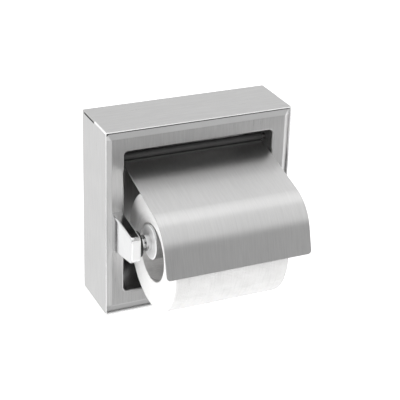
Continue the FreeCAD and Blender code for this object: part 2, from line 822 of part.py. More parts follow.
def make_sleeve(doc, d):
    """Left half of the roller: barrel open to the right, hub and end pin on the left."""
    body = new_body(doc, "roller_sleeve")
    place(body, 0, -d.axle_y, -d.axle_z)
    hub_end = -roller_end(d)
    barrel = hub_end + d.hub_length
    bore = d.roller_radius - d.roller_wall
    section = new_sketch(body, "sleeve_section", "XY_Plane")
    outline(
        section,
        [
            (hub_end - d.pin_length, size_of(0)),
            (barrel + d.roller_wall, size_of(0)),
            (barrel + d.roller_wall, bore),
            (barrel + d.sleeve_length, bore),
            (barrel + d.sleeve_length, d.roller_radius),
            (barrel, d.roller_radius),
            (barrel, d.hub_radius),
            (hub_end, d.hub_radius),
            (hub_end, d.pin_radius),
            (hub_end - d.pin_length, d.pin_radius),
        ],
    )
    revolve(body, section)

    def is_rim(edge):
        return is_circle(edge, d.roller_radius) and near(edge.Vertexes[0].X, barrel)

    round_edges(doc, body, "sleeve_rim", is_rim, d.sleeve_edge)
    return body


def make_plunger(doc, d):
    """Right half of the roller: slides in the sleeve, with a collar, hub and end pin on the right."""
    body = new_body(doc, "roller_plunger")
    place(body, 0, -d.axle_y, -d.axle_z)
    hub_end = roller_end(d)
    collar_end = hub_end - d.hub_length
    collar_start = collar_end - d.collar_length
    start = -d.plunger_start
    outer = d.roller_radius - d.roller_wall - d.roller_gap
    bore = outer - d.roller_wall
    section = new_sketch(body, "plunger_section", "XY_Plane")
    outline(
        section,
        [
            (start, d.vent_radius),
            (start + d.roller_wall, d.vent_radius),
            (start + d.roller_wall, bore),
            (collar_end - d.roller_wall, bore),
            (collar_end - d.roller_wall, size_of(0)),
            (hub_end + d.pin_length, size_of(0)),
            (hub_end + d.pin_length, d.pin_radius),
            (hub_end, d.pin_radius),
            (hub_end, d.hub_radius),
            (collar_end, d.hub_radius),
            (collar_end, d.roller_radius),
            (collar_start, d.roller_radius),
            (collar_start, outer),
            (start, outer),
        ],
    )
    revolve(body, section)
    return body


def make_spring(doc, d):
    """Compression spring between the sleeve's end wall and the plunger's inner wall."""
    body = new_body(doc, "roller_spring")
    place(body, 0, -d.axle_y, -d.axle_z)
    seat = -roller_end(d) + d.hub_length + d.roller_wall
    room = -d.plunger_start - seat
    slack = d.spring_wire + d.spring_gap
    section = new_sketch(body, "spring_section", "XY_Plane")
    circle(section, (seat + slack, d.spring_radius), d.spring_wire)
    coil = body.newObject("PartDesign::AdditiveHelix", "spring_coil")
    coil.Profile = section
    coil.ReferenceAxis = (section, ["H_Axis"])
    coil.Mode = "height-turns-angle"
    bind(coil, "Height", room - 2 * slack)
    bind(coil, "Turns", d.spring_turns)
    return body


def make_tube(doc, d, name, inner, outer):
    """A tube along X, the length of the paper roll, hanging on the roller."""
    body = new_body(doc, name)
    hang = d.core_radius - d.roller_radius - d.hang_gap
    place(body, -d.roll_shift, -d.axle_y, -(d.axle_z + hang))
    section = new_sketch(body, name + "_section", "YZ_Plane")
    circle(section, (0, 0), inner)
    circle(section, (0, 0), outer)
    pad(body, section, d.roll_length, both_ways=True)
    return body


def make_core(doc, d):
    return make_tube(doc, d, "cardboard_core", d.core_radius, d.core_radius + d.core_wall)


def make_paper(doc, d):
    """The wound paper, its outer edges slightly rounded."""
    inner = d.core_radius + d.core_wall + d.core_gap
    body = make_tube(doc, d, "paper_roll", inner, d.roll_radius)
    round_edges(doc, body, "paper_edges", lambda edge: is_circle(edge, d.roll_radius), d.roll_edge)
    return body


# ---------------------------------------------------------------- the whole object


def make_all(doc, d):
    nodes = [make_shell(doc, d), make_pan(doc, d), make_rod(doc, d), make_hood(doc, d)]
    for side, word in ((-1, "left"), (1, "right")):
        nodes.append(make_side_bracket(doc, d, side, f"{word}_side_bracket"))
        nodes.append(make_bracket_screws(doc, d, side, f"{word}_bracket_screws"))
        nodes.append(make_post(doc, d, side, f"{word}_post"))
        nodes.append(make_bush(doc, d, side, f"{word}_bearing_bush"))
        nodes.append(make_post_screws(doc, d, side, f"{word}_post_screws"))
        nodes.append(make_post_washers(doc, d, side, f"{word}_post_washers"))
        nodes.append(make_rod_cap(doc, d, side, f"{word}_rod_cap"))
    nodes += [make_sleeve(doc, d), make_plunger(doc, d), make_spring(doc, d)]
    nodes += [make_core(doc, d), make_paper(doc, d)]
    return nodes


def check(doc, nodes):
    """Stop if anything failed to compute, before a file is written."""
    for item in doc.Objects:
        if "Invalid" in item.State or "Error" in item.State:
            raise RuntimeError(f"{item.Name} failed: {item.State}")
    for node in nodes:
        if node.Shape.isNull() or not node.Shape.isValid() or node.Shape.Volume < 1:
            raise RuntimeError(f"{node.Label} has no valid shape")


def main():
    doc = FreeCAD.newDocument("toilet_paper_holder")
    nodes = make_all(doc, Dimensions(doc))
    doc.recompute()
    check(doc, nodes)
    os.makedirs("parts", exist_ok=True)
    for node in nodes:
        node.Shape.exportStep(os.path.join("parts", node.Label + ".step"))
        print(f"{node.Label}: {len(node.Shape.Solids)} solid(s), {node.Shape.Volume:.1f} mm3")


main()
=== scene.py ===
"""Looks of the surface-mounted toilet paper holder: brushed steel box and hood, chrome posts, paper roll.

Frame: metres, the wall is the plane Y = 0, the object stands out of it towards -Y, Z is up.
"""
import math
import random
from collections import namedtuple

import bmesh
import bpy
from mathutils import Matrix, Vector


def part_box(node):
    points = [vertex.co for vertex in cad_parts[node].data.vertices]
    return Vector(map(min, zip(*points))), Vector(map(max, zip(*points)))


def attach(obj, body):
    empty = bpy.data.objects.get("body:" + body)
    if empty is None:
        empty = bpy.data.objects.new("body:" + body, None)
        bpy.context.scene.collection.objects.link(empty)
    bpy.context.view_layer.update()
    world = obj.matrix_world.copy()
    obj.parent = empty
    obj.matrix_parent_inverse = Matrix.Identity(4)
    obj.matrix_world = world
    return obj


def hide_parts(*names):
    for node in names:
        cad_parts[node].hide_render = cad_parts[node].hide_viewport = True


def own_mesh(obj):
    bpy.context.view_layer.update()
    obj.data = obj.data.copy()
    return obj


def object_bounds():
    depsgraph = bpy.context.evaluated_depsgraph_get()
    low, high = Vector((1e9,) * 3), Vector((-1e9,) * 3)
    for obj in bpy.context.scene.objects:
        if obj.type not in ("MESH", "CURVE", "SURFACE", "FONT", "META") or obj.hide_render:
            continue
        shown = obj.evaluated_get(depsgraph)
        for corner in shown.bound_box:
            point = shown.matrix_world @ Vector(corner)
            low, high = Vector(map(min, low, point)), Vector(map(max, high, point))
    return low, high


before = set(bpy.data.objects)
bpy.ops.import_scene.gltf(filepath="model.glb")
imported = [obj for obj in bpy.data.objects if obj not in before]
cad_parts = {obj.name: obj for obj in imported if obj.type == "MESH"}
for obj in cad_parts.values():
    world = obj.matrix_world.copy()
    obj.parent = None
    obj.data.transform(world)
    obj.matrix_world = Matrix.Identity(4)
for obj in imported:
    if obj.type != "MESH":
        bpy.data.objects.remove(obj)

MM = 0.001
cad_low, cad_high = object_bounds()


def corners(box):
    """A CAD box's lowest and highest corners, as vectors."""
    low, high = box
    return Vector(low), Vector(high)


def middle(box):
    low, high = corners(box)
    return (low + high) / 2


shell_low, shell_high = corners(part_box("housing_shell"))
SHELL_HALF = shell_high.x
SHELL_FRONT = -shell_low.y
PAN_HALF = corners(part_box("recess_pan"))[1].x


# ---------------------------------------------------------------- node helpers


EDGE_SAMPLES = 6
# the cosine between the true and the rounded normal: on a flat face, and on a full edge
FLAT_FACE, FULL_EDGE = 0.995, 0.80
# a mask between two places fades in and out over twice this
SOFT_END = 0.15 * MM


class Nodes:
    """A material's node tree with short calls for the nodes used here."""

    def __init__(self, name):
        self.material = bpy.data.materials.new(name)
        self.material.use_nodes = True
        self.tree = self.material.node_tree
        self.shader = self.tree.nodes["Principled BSDF"]
        self.coordinates = self.add("ShaderNodeTexCoord").outputs["Object"]

    def add(self, kind, **settings):
        node = self.tree.nodes.new(kind)
        for name, value in settings.items():
            setattr(node, name, value)
        return node

    def link(self, source, target):
        self.tree.links.new(source, target)

    def feed(self, socket, value):
        """Set a socket, or link it if the value is another node's output."""
        if isinstance(value, bpy.types.NodeSocket):
            self.link(value, socket)
        else:
            socket.default_value = value

    def set(self, **values):
        """Feed the shader's sockets; an underscore stands for the space in a socket's name."""
        for name, value in values.items():
            self.feed(self.shader.inputs[name.replace("_", " ")], value)

    def math(self, operation, first, second=0.0, clamp=False):
        node = self.add("ShaderNodeMath", operation=operation, use_clamp=clamp)
        self.feed(node.inputs[0], first)
        self.feed(node.inputs[1], second)
        return node.outputs[0]

    def plus(self, first, second):
        return self.math("ADD", first, second)

    def times(self, first, second):
        return self.math("MULTIPLY", first, second)

    def length(self, first, second):
        """The length of two distances at right angles."""
        return self.math("SQRT", self.plus(self.times(first, first), self.times(second, second)))

    def vector(self, operation, first, second=(0, 0, 0)):
        node = self.add("ShaderNodeVectorMath", operation=operation)
        self.feed(node.inputs[0], first)
        self.feed(node.inputs[1], second)
        return node.outputs["Value" if operation == "DOT_PRODUCT" else "Vector"]

    def split(self, vector):
        """The three numbers of a vector."""
        node = self.add("ShaderNodeSeparateXYZ")
        self.link(vector, node.inputs[0])
        return node.outputs

    def noise(self, scale, vector=None, detail=2.0, roughness=0.5):
        """Noise over the object's own metres; scale is a number, or three for streaks."""
        node = self.add("ShaderNodeTexNoise", noise_dimensions="3D")
        place = self.coordinates if vector is None else vector
        if not isinstance(scale, (int, float)):
            place = self.vector("MULTIPLY", place, scale)
            scale = 1.0
        self.link(place, node.inputs["Vector"])
        node.inputs["Scale"].default_value = scale
        node.inputs["Detail"].default_value = detail
        node.inputs["Roughness"].default_value = roughness
        return node.outputs["Fac"]

    def spread(self, value, low, high, to_low=0.0, to_high=1.0):
        """to_low where the value is low, to_high where it is high, and no further than them."""
        node = self.add("ShaderNodeMapRange", clamp=True)
        self.feed(node.inputs["Value"], value)
        for name, number in zip(("From Min", "From Max", "To Min", "To Max"), (low, high, to_low, to_high)):
            node.inputs[name].default_value = number
        return node.outputs["Result"]

    def between(self, value, low, high):
        """1 where the value lies between low and high, with soft ends."""
        rises = self.spread(value, low - SOFT_END, low + SOFT_END)
        falls = self.spread(value, high + SOFT_END, high - SOFT_END)
        return self.times(rises, falls)

    def blend(self, share, first, second):
        """A colour from the first to the second."""
        node = self.add("ShaderNodeMix", data_type="RGBA")
        self.feed(node.inputs["Factor"], share)
        self.feed(node.inputs[6], first)
        self.feed(node.inputs[7], second)
        return node.outputs[2]

    def blend_numbers(self, share, first, second):
        node = self.add("ShaderNodeMix", data_type="FLOAT")
        self.feed(node.inputs["Factor"], share)
        self.feed(node.inputs[2], first)
        self.feed(node.inputs[3], second)
        return node.outputs[0]

    def bump(self, height, strength, distance, normal=None):
        node = self.add("ShaderNodeBump")
        node.inputs["Strength"].default_value = strength
        node.inputs["Distance"].default_value = distance
        self.link(height, node.inputs["Height"])
        if normal is not None:
            self.link(normal, node.inputs["Normal"])
        return node.outputs["Normal"]

    def soft_edges(self, radius):
        """The normal rounded at edges, and how near an edge a point is."""
        bevel = self.add("ShaderNodeBevel", samples=EDGE_SAMPLES)
        bevel.inputs["Radius"].default_value = radius
        true_normal = self.add("ShaderNodeNewGeometry").outputs["True Normal"]
        flatness = self.vector("DOT_PRODUCT", bevel.outputs["Normal"], true_normal)
        return bevel.outputs["Normal"], self.spread(flatness, FLAT_FACE, FULL_EDGE)

    def direction(self, axis):
        """A fixed direction of the piece itself, for the grain of brushed metal."""
        combine = self.add("ShaderNodeCombineXYZ")
        for socket, value in zip(combine.inputs, axis):
            socket.default_value = value
        turn = self.add("ShaderNodeVectorTransform", vector_type="VECTOR")
        turn.convert_from = "OBJECT"
        turn.convert_to = "WORLD"
        self.link(combine.outputs[0], turn.inputs[0])
        return self.vector("NORMALIZE", turn.outputs[0])


def grey(level, warmth=0.0):
    return (level * (1 + warmth), level, level * (1 - warmth), 1.0)


# ---------------------------------------------------------------- materials


STEEL_TONE = 0.66
# how far off a neighbouring surface still darkens the steel with painted shade in a hollow
HOLLOW_SHADE_REACH = 30 * MM
# the seam of the cardboard advances by this in a turn
BOARD_SEAM_PITCH = 62 * MM
PLY = 0.16 * MM
PLIES_IN_LINE = 3
EMBOSS_PITCH = 3.1 * MM
# the embossed rows are laid out on a cylinder of this radius
EMBOSS_RADIUS = 47 * MM


def brushed_steel(name, along, across, roughness=0.3, contrast=1.0, hollow_shade=0.0, patches=()):
    """Brushed stainless steel. The grain is long where along is 1; across is the tangent over the grain.

    Hollows are darkened with painted shade, up to the given share. The patches are painted over it in their
    order.
    """
    n = Nodes(name)

    def streaks(long_scale, short_scale, noise_roughness):
        scales = [long_scale if share else short_scale for share in along]
        return n.noise(scales, detail=3.0, roughness=noise_roughness)

    hairs = streaks(90.0, 3400.0, 0.6)
    strands = streaks(46.0, 900.0, 0.55)
    clouds = n.noise(26.0, detail=3.0)
    grain = n.plus(n.times(hairs, 0.55), n.times(strands, 0.45))
    normal, edge = n.soft_edges(0.4 * MM)
    dark = grey(STEEL_TONE * (1 - 0.07 * contrast), 0.003)
    light = grey(STEEL_TONE * (1 + 0.06 * contrast), 0.003)
    body = n.blend(n.spread(grain, 0.36, 0.64), dark, light)
    cloud_share = n.spread(clouds, 0.35, 0.7, 0.0, 0.2 * contrast)
    colour = n.blend(cloud_share, body, grey(STEEL_TONE * 0.92, 0.004))
    colour = n.blend(n.times(edge, 0.45), colour, grey(STEEL_TONE * 1.3))
    rough = n.spread(grain, 0.3, 0.7, roughness - 0.03, roughness + 0.04)
    rough = n.plus(rough, n.spread(clouds, 0.3, 0.7, -0.015, 0.02))
    rough = n.math("SUBTRACT", rough, n.times(edge, 0.06))
    # painted shade: the steel is darkened where surfaces nearby close it in
    if hollow_shade:
        open_sky = n.add("ShaderNodeAmbientOcclusion", samples=6)
        open_sky.inputs["Distance"].default_value = HOLLOW_SHADE_REACH
        hollow_shade_share = n.spread(open_sky.outputs["AO"], 0.55, 0.05, 0.0, hollow_shade)
        colour = n.blend(hollow_shade_share, colour, grey(STEEL_TONE * 0.3))
    metal = 1.0
    for patch in patches:
        mask = patch.make_mask(n)
        colour = n.blend(mask, colour, grey(patch.tone))
        rough = n.plus(rough, n.times(mask, patch.roughness - roughness))
        metal = n.math("SUBTRACT", metal, n.times(mask, 1.0 - patch.metal), clamp=True)
    n.set(Base_Color=colour, Metallic=metal, Roughness=rough, Anisotropic=0.6)
    n.set(Tangent=n.direction(across))
    n.set(Normal=n.bump(grain, 0.22 * contrast, 0.02 * MM, normal))
    return n.material


def chrome(name, satin_and_reflection, tone=0.84, roughness=0.07):
    """Polished chrome plate with a faint orange peel and rubbed edges.

    The second argument is an axis and two places on it: between them the plate is satin, and painted near
    white and less metallic as a painted reflection.
    """
    n = Nodes(name)
    peel = n.noise(900.0, detail=2.0)
    haze = n.noise(60.0, detail=4.0)
    normal, edge = n.soft_edges(0.4 * MM)
    colour = n.blend(n.spread(haze, 0.4, 0.7), grey(tone, -0.004), grey(tone * 0.93, -0.004))
    rough = n.spread(haze, 0.35, 0.7, roughness, roughness + 0.06)
    rough = n.plus(rough, n.times(edge, 0.05))
    axis, low, high = satin_and_reflection
    share = n.between(n.split(n.coordinates)[axis], low, high)
    # painted reflection: the satin faces are near white and less metallic
    colour = n.blend(share, colour, grey(0.96))
    rough = n.plus(rough, n.times(share, 0.28))
    n.set(Base_Color=colour, Metallic=n.spread(share, 0.0, 1.0, 1.0, 0.4), Roughness=rough)
    n.set(Normal=n.bump(peel, 0.05, 0.03 * MM, normal))
    return n.material


def turned_steel(name, tone=0.5, roughness=0.3):
    """Plated fastener or rod steel: fine grain all over, dull in patches, bright on edges."""
    n = Nodes(name)
    grain = n.noise(1800.0, detail=3.0)
    dull = n.noise(180.0, detail=3.0)
    normal, edge = n.soft_edges(0.2 * MM)
    colour = n.blend(n.spread(dull, 0.35, 0.7), grey(tone, 0.01), grey(tone * 0.75, 0.02))
    colour = n.blend(n.times(edge, 0.4), colour, grey(tone * 1.3))
    rough = n.spread(dull, 0.35, 0.7, roughness, roughness + 0.15)
    n.set(Base_Color=colour, Metallic=1.0, Roughness=rough)
    n.set(Normal=n.bump(grain, 0.15, 0.03 * MM, normal))
    return n.material


def black_plastic(name):
    """Moulded black plastic, slightly rubbed at its edges."""
    n = Nodes(name)
    mould = n.noise(1500.0, detail=2.0)
    dust = n.noise(140.0, detail=4.0)
    normal, edge = n.soft_edges(0.3 * MM)
    colour = n.blend(n.spread(dust, 0.45, 0.75), grey(0.012), grey(0.03, 0.02))
    colour = n.blend(n.times(edge, 0.5), colour, grey(0.08))
    n.set(Base_Color=colour, Roughness=n.spread(dust, 0.3, 0.7, 0.32, 0.5))
    n.set(Normal=n.bump(mould, 0.2, 0.04 * MM, normal))
    return n.material


def round_place(n, centre):
    """For an axis along X: place along it, distance from it, turn about it, and place from the centre."""
    local = n.vector("SUBTRACT", n.coordinates, centre)
    along, y, z = n.split(local)
    return along, n.length(y, z), n.math("ARCTAN2", z, y), local


def cardboard(name, centre):
    """Spiral-wound grey board: fibres, and the seam of the winding."""
    n = Nodes(name)
    along, _, turn, local = round_place(n, centre)
    phase = n.plus(n.math("DIVIDE", along, BOARD_SEAM_PITCH), n.math("DIVIDE", turn, math.tau))
    seam = n.math("PINGPONG", phase, 0.5)
    fibres = n.noise((300.0, 1400.0, 1400.0), vector=local, detail=4.0, roughness=0.65)
    mottle = n.noise(160.0, detail=4.0)
    normal, edge = n.soft_edges(0.2 * MM)
    colour = n.blend(n.spread(fibres, 0.35, 0.68), grey(0.76, 0.01), grey(0.9, 0.01))
    colour = n.blend(n.spread(mottle, 0.4, 0.7, 0.0, 0.4), colour, grey(0.52, 0.02))
    colour = n.blend(n.spread(seam, 0.012, 0.0), colour, grey(0.4, 0.02))
    colour = n.blend(n.times(edge, 0.4), colour, grey(0.9, 0.01))
    n.set(Base_Color=colour, Roughness=n.spread(fibres, 0.3, 0.7, 0.75, 0.95))
    n.set(Normal=n.bump(n.plus(fibres, n.spread(seam, 0.02, 0.0)), 0.35, 0.12 * MM, normal))
    return n.material


def embossed_dots(n, along, turn):
    """Staggered dots pressed into the outside of the paper, 1 in the middle of each."""
    across = n.math("DIVIDE", n.times(turn, EMBOSS_RADIUS), EMBOSS_PITCH)
    rows = n.math("DIVIDE", along, EMBOSS_PITCH)
    row = n.math("FLOOR", rows)
    odd_row = n.math("MODULO", n.math("ABSOLUTE", row), 2.0)
    shifted = n.plus(across, n.times(odd_row, 0.5))
    u = n.math("SUBTRACT", n.math("FRACT", shifted), 0.5)
    v = n.math("SUBTRACT", n.math("FRACT", rows), 0.5)
    return n.spread(n.length(u, v), 0.12, 0.3)


def tissue(name, centre):
    """Soft white tissue: embossed dots and creases on the outside, wound plies on the ends. The outside is
    painted darker than the ends, and darker still along the creases: painted shade.
    """
    n = Nodes(name)
    along, distance, turn, local = round_place(n, centre)
    # the ends: a fine line for every few plies, and slow bands of looser and tighter winding
    wave = n.math("SINE", n.times(distance, math.tau / (PLY * PLIES_IN_LINE)))
    ring_place = n.add("ShaderNodeCombineXYZ")
    n.link(distance, ring_place.inputs[0])
    bands = n.noise(1500.0, vector=ring_place.outputs[0], detail=5.0, roughness=0.75)
    plies = n.plus(n.times(wave, 0.25), n.times(bands, 1.2))
    # the outside
    fibre = n.noise(3200.0, detail=4.0, roughness=0.7)
    soft = n.noise(110.0, detail=3.0)
    creases_and_shade = n.noise((900.0, 60.0, 60.0), vector=local, detail=4.0, roughness=0.6)
    outside = n.plus(n.times(embossed_dots(n, along, turn), 0.55), n.times(fibre, 0.5))
    outside = n.plus(outside, n.times(creases_and_shade, 0.8))
    facing = n.split(n.add("ShaderNodeNewGeometry").outputs["Normal"])
    on_end = n.spread(n.math("ABSOLUTE", facing[0]), 0.6, 0.8)
    # painted shade: the outside is darker than the ends, and darker still along the creases
    outer = n.blend(n.spread(soft, 0.3, 0.7), grey(0.72, 0.004), grey(0.66, 0.006))
    outer = n.blend(n.spread(creases_and_shade, 0.5, 0.68, 0.0, 0.35), outer, grey(0.55, 0.006))
    colour = n.blend(on_end, outer, grey(0.93, 0.004))
    end_shade = n.times(n.spread(bands, 0.62, 0.35), n.times(on_end, 0.25))
    colour = n.blend(end_shade, colour, grey(0.62, 0.012))
    n.set(Base_Color=colour, Roughness=n.spread(fibre, 0.3, 0.7, 0.85, 1.0))
    n.set(Normal=n.bump(n.blend_numbers(on_end, outside, plies), 0.5, 0.25 * MM))
    n.set(Sheen_Weight=0.25, Sheen_Roughness=0.5)
    n.set(Subsurface_Weight=0.12, Subsurface_Radius=(1.5 * MM, 1.5 * MM, 1.4 * MM), Subsurface_Scale=1.0)
    return n.material


def paint(node, material):
    """Give a CAD node its finish."""
    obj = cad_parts[node]
    obj.data.materials.clear()
    obj.data.materials.append(material)


# ---------------------------------------------------------------- painted highlights and shade on the steel


# Each pair of depths is where a mark begins and where it is whole. IN is measured inwards from the outside
# of the shell or of the pan, and BACK from the shell's front.
EDGE_HIGHLIGHT_BACK = (2.9 * MM, 2.5 * MM)
EDGE_HIGHLIGHT_IN = (0.08 * MM, 0.2 * MM)
# the open end of a seam, out from the wall
SEAM_START, SEAM_END = 4 * MM, 26 * MM
SEAM_FADE = 1 * MM
OPEN_SEAM_IN = (1.3 * MM, 1.0 * MM)
OPEN_SEAM_LOW, OPEN_SEAM_HIGH = SHELL_HALF - 2.1 * MM, SHELL_HALF - 0.55 * MM
SEAM_HIGHLIGHT_IN = (1.15 * MM, 0.85 * MM)
BEVEL_BACK = (6.8 * MM, 4.8 * MM)
UPPER_BEVEL_IN = (6.1 * MM, 5.5 * MM)
LOWER_BEVEL_IN = (6.7 * MM, 4.7 * MM)
GAP_IN = (1.3 * MM, 1.0 * MM)
# from the pan's corner, sideways and downwards together
CORNER_IN = (3.2 * MM, 2.6 * MM)
# the left half begins at the middle and is whole here
LEFT_HALF = -1.0 * MM
# distances from the hinge rod's axis where the painted shade of the curl begins and is whole
CURL_OUTSIDE, CURL_WHOLE = 5.5 * MM, 3.6 * MM

Patch = namedtuple("Patch", "make_mask tone roughness metal")


def place_on_box(n):
    """A point's X, its distance from the middle plane and from the wall, and its height over the middle."""
    x, y, height = n.split(n.coordinates)
    return x, n.math("ABSOLUTE", x), n.times(y, -1.0), height


def inward(n, value, edge, depths):
    """A share that goes from 0 to 1 between two depths inside an edge."""
    begins, whole = depths
    return n.spread(value, edge - begins, edge - whole)


def front_edge_highlight(n):
    """The shell's front edge and the strip just inside it, painted near white, less metallic and rougher as
    a painted highlight.
    """
    _, side, forward, height = place_on_box(n)
    out = n.math("MAXIMUM", side, n.math("ABSOLUTE", height))
    at_front = inward(n, forward, SHELL_FRONT, EDGE_HIGHLIGHT_BACK)
    return n.times(at_front, inward(n, out, SHELL_HALF, EDGE_HIGHLIGHT_IN))


def open_seam_shade(n):
    """Near black painted in and round the open end of the upper corner seams: painted shade of the gap."""
    _, side, forward, height = place_on_box(n)
    at_side = inward(n, side, SHELL_HALF, OPEN_SEAM_IN)
    at_corner = n.times(at_side, n.between(height, OPEN_SEAM_LOW, OPEN_SEAM_HIGH))
    return n.times(at_corner, n.between(forward, SEAM_START, SEAM_END))


def seam_highlight(n):
    """A painted highlight, near white and less metallic, along the upper corner seams in front of their
    open end.
    """
    _, side, forward, height = place_on_box(n)
    at_side = inward(n, side, SHELL_HALF, SEAM_HIGHLIGHT_IN)
    at_corner = n.times(at_side, inward(n, height, SHELL_HALF, SEAM_HIGHLIGHT_IN))
    return n.times(at_corner, n.spread(forward, SEAM_END, SEAM_END + SEAM_FADE))


def upper_bevel_highlight(n):
    """The bevel along the top of the flange, painted lighter than the flange as a painted highlight, and a
    little rougher.
    """
    _, _, forward, height = place_on_box(n)
    return n.times(inward(n, height, PAN_HALF, UPPER_BEVEL_IN), inward(n, forward, SHELL_FRONT, BEVEL_BACK))


def lower_bevel_shade(n):
    """The bevel along the bottom of the flange, painted darker than the flange as painted shade, and a
    little rougher.
    """
    _, _, forward, height = place_on_box(n)
    at_bottom = inward(n, n.times(height, -1.0), PAN_HALF, LOWER_BEVEL_IN)
    return n.times(at_bottom, inward(n, forward, SHELL_FRONT, BEVEL_BACK))


def gap_shade(n):
    """Painted shade along the gap over the flange."""
    _, _, _, height = place_on_box(n)
    return inward(n, height, PAN_HALF, GAP_IN)


def open_corner_shade(n):
    """Painted shade in the flange's upper left corner, as of an open mitre."""
    x, side, _, height = place_on_box(n)
    at_corner = inward(n, n.plus(side, height), 2 * PAN_HALF, CORNER_IN)
    return n.times(at_corner, n.spread(x, 0.0, LEFT_HALF))


def rod_curl_shade(n):
    """The hood's curl round the hinge rod, painted dark and dull as painted shade."""
    _, distance, _, _ = round_place(n, middle(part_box("hinge_rod")))
    return n.spread(distance, CURL_OUTSIDE, CURL_WHOLE)


# ---------------------------------------------------------------- CAD pieces


BRACKET_STEEL = {"along": (0, 0, 1), "across": (0.3, 1.0, 0.0), "roughness": 0.35, "hollow_shade": 0.5}
STEEL_PIECES = {
    "housing_shell": {
        "along": (1, 0, 1),
        "across": (0.05, 1.0, 0.05),
        "contrast": 1.2,
        "patches": (
            # painted highlight: the front edge is near white and less metallic
            Patch(front_edge_highlight, tone=0.95, roughness=0.6, metal=0.25),
            # painted shade: near black in the open end of the upper corner seams
            Patch(open_seam_shade, tone=0.02, roughness=0.5, metal=0.0),
            # painted highlight: near white along the upper corner seams
            Patch(seam_highlight, tone=1.0, roughness=0.5, metal=0.4),
        ),
    },
    "recess_pan": {
        "along": (0, 0, 1),
        "across": (1.0, 0.35, 0.0),
        "contrast": 1.5,
        "hollow_shade": 0.45,
        "patches": (
            # painted highlight: the top bevel is lighter than the flange
            Patch(upper_bevel_highlight, tone=0.82, roughness=0.36, metal=1.0),
            # painted shade: the bottom bevel is darker than the flange
            Patch(lower_bevel_shade, tone=0.46, roughness=0.36, metal=1.0),
            # painted shade along the gap over the flange
            Patch(gap_shade, tone=0.16, roughness=0.5, metal=1.0),
            # painted shade in the flange's upper left corner
            Patch(open_corner_shade, tone=0.08, roughness=0.5, metal=1.0),
        ),
    },
    "hood": {
        "along": (0, 1, 1),
        "across": (1.0, 0.0, 0.0),
        "roughness": 0.33,
        "contrast": 0.9,
        # painted shade on the curl round the hinge rod
        "patches": (Patch(rod_curl_shade, tone=0.07, roughness=0.6, metal=0.2),),
    },
    "left_side_bracket": BRACKET_STEEL,
    "right_side_bracket": BRACKET_STEEL,
}

# the faces of the posts' noses and of the sleeve's end are satin, with a painted reflection, to this depth
SATIN_REFLECTION_DEPTH = 0.6 * MM
# and the satin and its painted reflection begin this far outside them
NOSE_MARGIN = 1.0 * MM
END_MARGIN = 0.2 * MM
# the pin and the hub of the sleeve are this long together
SLEEVE_END = 13.6 * MM


def paint_steel():
    for node, settings in STEEL_PIECES.items():
        paint(node, brushed_steel(node + "_steel", **settings))


def paint_chrome():
    nose = corners(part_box("left_post"))[0].y
    plate = chrome("post_plate", (1, nose - NOSE_MARGIN, nose + SATIN_REFLECTION_DEPTH))
    end_face = corners(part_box("roller_sleeve"))[0].x + SLEEVE_END
    end_satin_reflection = (0, end_face - END_MARGIN, end_face + SATIN_REFLECTION_DEPTH)
    roller_plate = chrome("roller_plate", end_satin_reflection, tone=0.70, roughness=0.14)
    for side in ("left", "right"):
        paint(f"{side}_post", plate)
    paint("roller_sleeve", roller_plate)
    paint("roller_plunger", roller_plate)


def paint_fittings():
    """Screws, washers, rod, caps and bushes."""
    screws = turned_steel("screw_steel")
    paint("hinge_rod", turned_steel("rod_steel", tone=0.2, roughness=0.35))
    bush = black_plastic("bush_plastic")
    for side in ("left", "right"):
        paint(f"{side}_bearing_bush", bush)
        paint(f"{side}_rod_cap", bush)
        for fixing in ("post_screws", "post_washers", "bracket_screws"):
            paint(f"{side}_{fixing}", screws)


def paint_cad():
    paint_steel()
    paint_chrome()
    paint_fittings()
    paint("cardboard_core", cardboard("core_board", middle(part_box("cardboard_core"))))


# ---------------------------------------------------------------- mesh helpers


def skin(bm, rings):
    """Four-sided faces between each ring of points and the next."""
    for ring, following in zip(rings, rings[1:]):
        for index in range(len(ring)):
            after = (index + 1) % len(ring)
            bm.faces.new((ring[index], ring[after], following[after], following[index]))


def place_mesh(name, bm, material):
    """Make an object of the mesh in the scene."""
    mesh = bpy.data.meshes.new(name)
    bm.to_mesh(mesh)
    bm.free()
    mesh.materials.append(material)
    obj = bpy.data.objects.new(name, mesh)
    bpy.context.scene.collection.objects.link(obj)
    return obj


# ---------------------------------------------------------------- paper roll


ROLL_STEPS = 240
CORE_CLEARANCE = 0.05 * MM
TAIL_TURN = math.radians(205)
TAIL_STEP = 0.30 * MM
OUT_OF_ROUND = 0.12 * MM
SAG = 0.04 * MM
# radians for each metre along the roll
SAG_WAVE = 95
OUTSIDE_STEPS = 36
EDGE_ROUNDING = 1.1 * MM
# degrees round the edge between an end and the outside
EDGE_ANGLES = (15, 35, 55, 75)
END_RINGS = 44
# the least and most depth of a ring, in millimetres
RING_DEPTHS = (0.02, 0.34)
END_WAVE = 0.05 * MM
# the wave on an end turns by this, in radians, from the bore to the edge
WAVE_TURN = 0.8
# the unevenness of an end is whole an eighth of the way from the bore and from the edge
FADE_RATE = 8
# and this much of it is left at the edge
LEFT_AT_EDGE = 0.15


def smooth_noise(seed, count):
    """A closed curve of noise round the roll: a few slow waves."""
    draw = random.Random(seed)
    waves = [(k, draw.uniform(-1, 1) / k, draw.uniform(0, math.tau)) for k in range(1, count + 1)]

    def value(turn):
        return sum(size * math.sin(k * turn + start) for k, size, start in waves)

    return value


def ring_depths():
    """How far each ring of the roll's ends lies behind the end, smoothed."""
    draw = random.Random(11)
    depths = [draw.uniform(*RING_DEPTHS) * MM for _ in range(END_RINGS + 1)]
    for index in range(1, END_RINGS):
        depths[index] = (depths[index - 1] + 2 * depths[index] + depths[index + 1]) / 4
    return depths


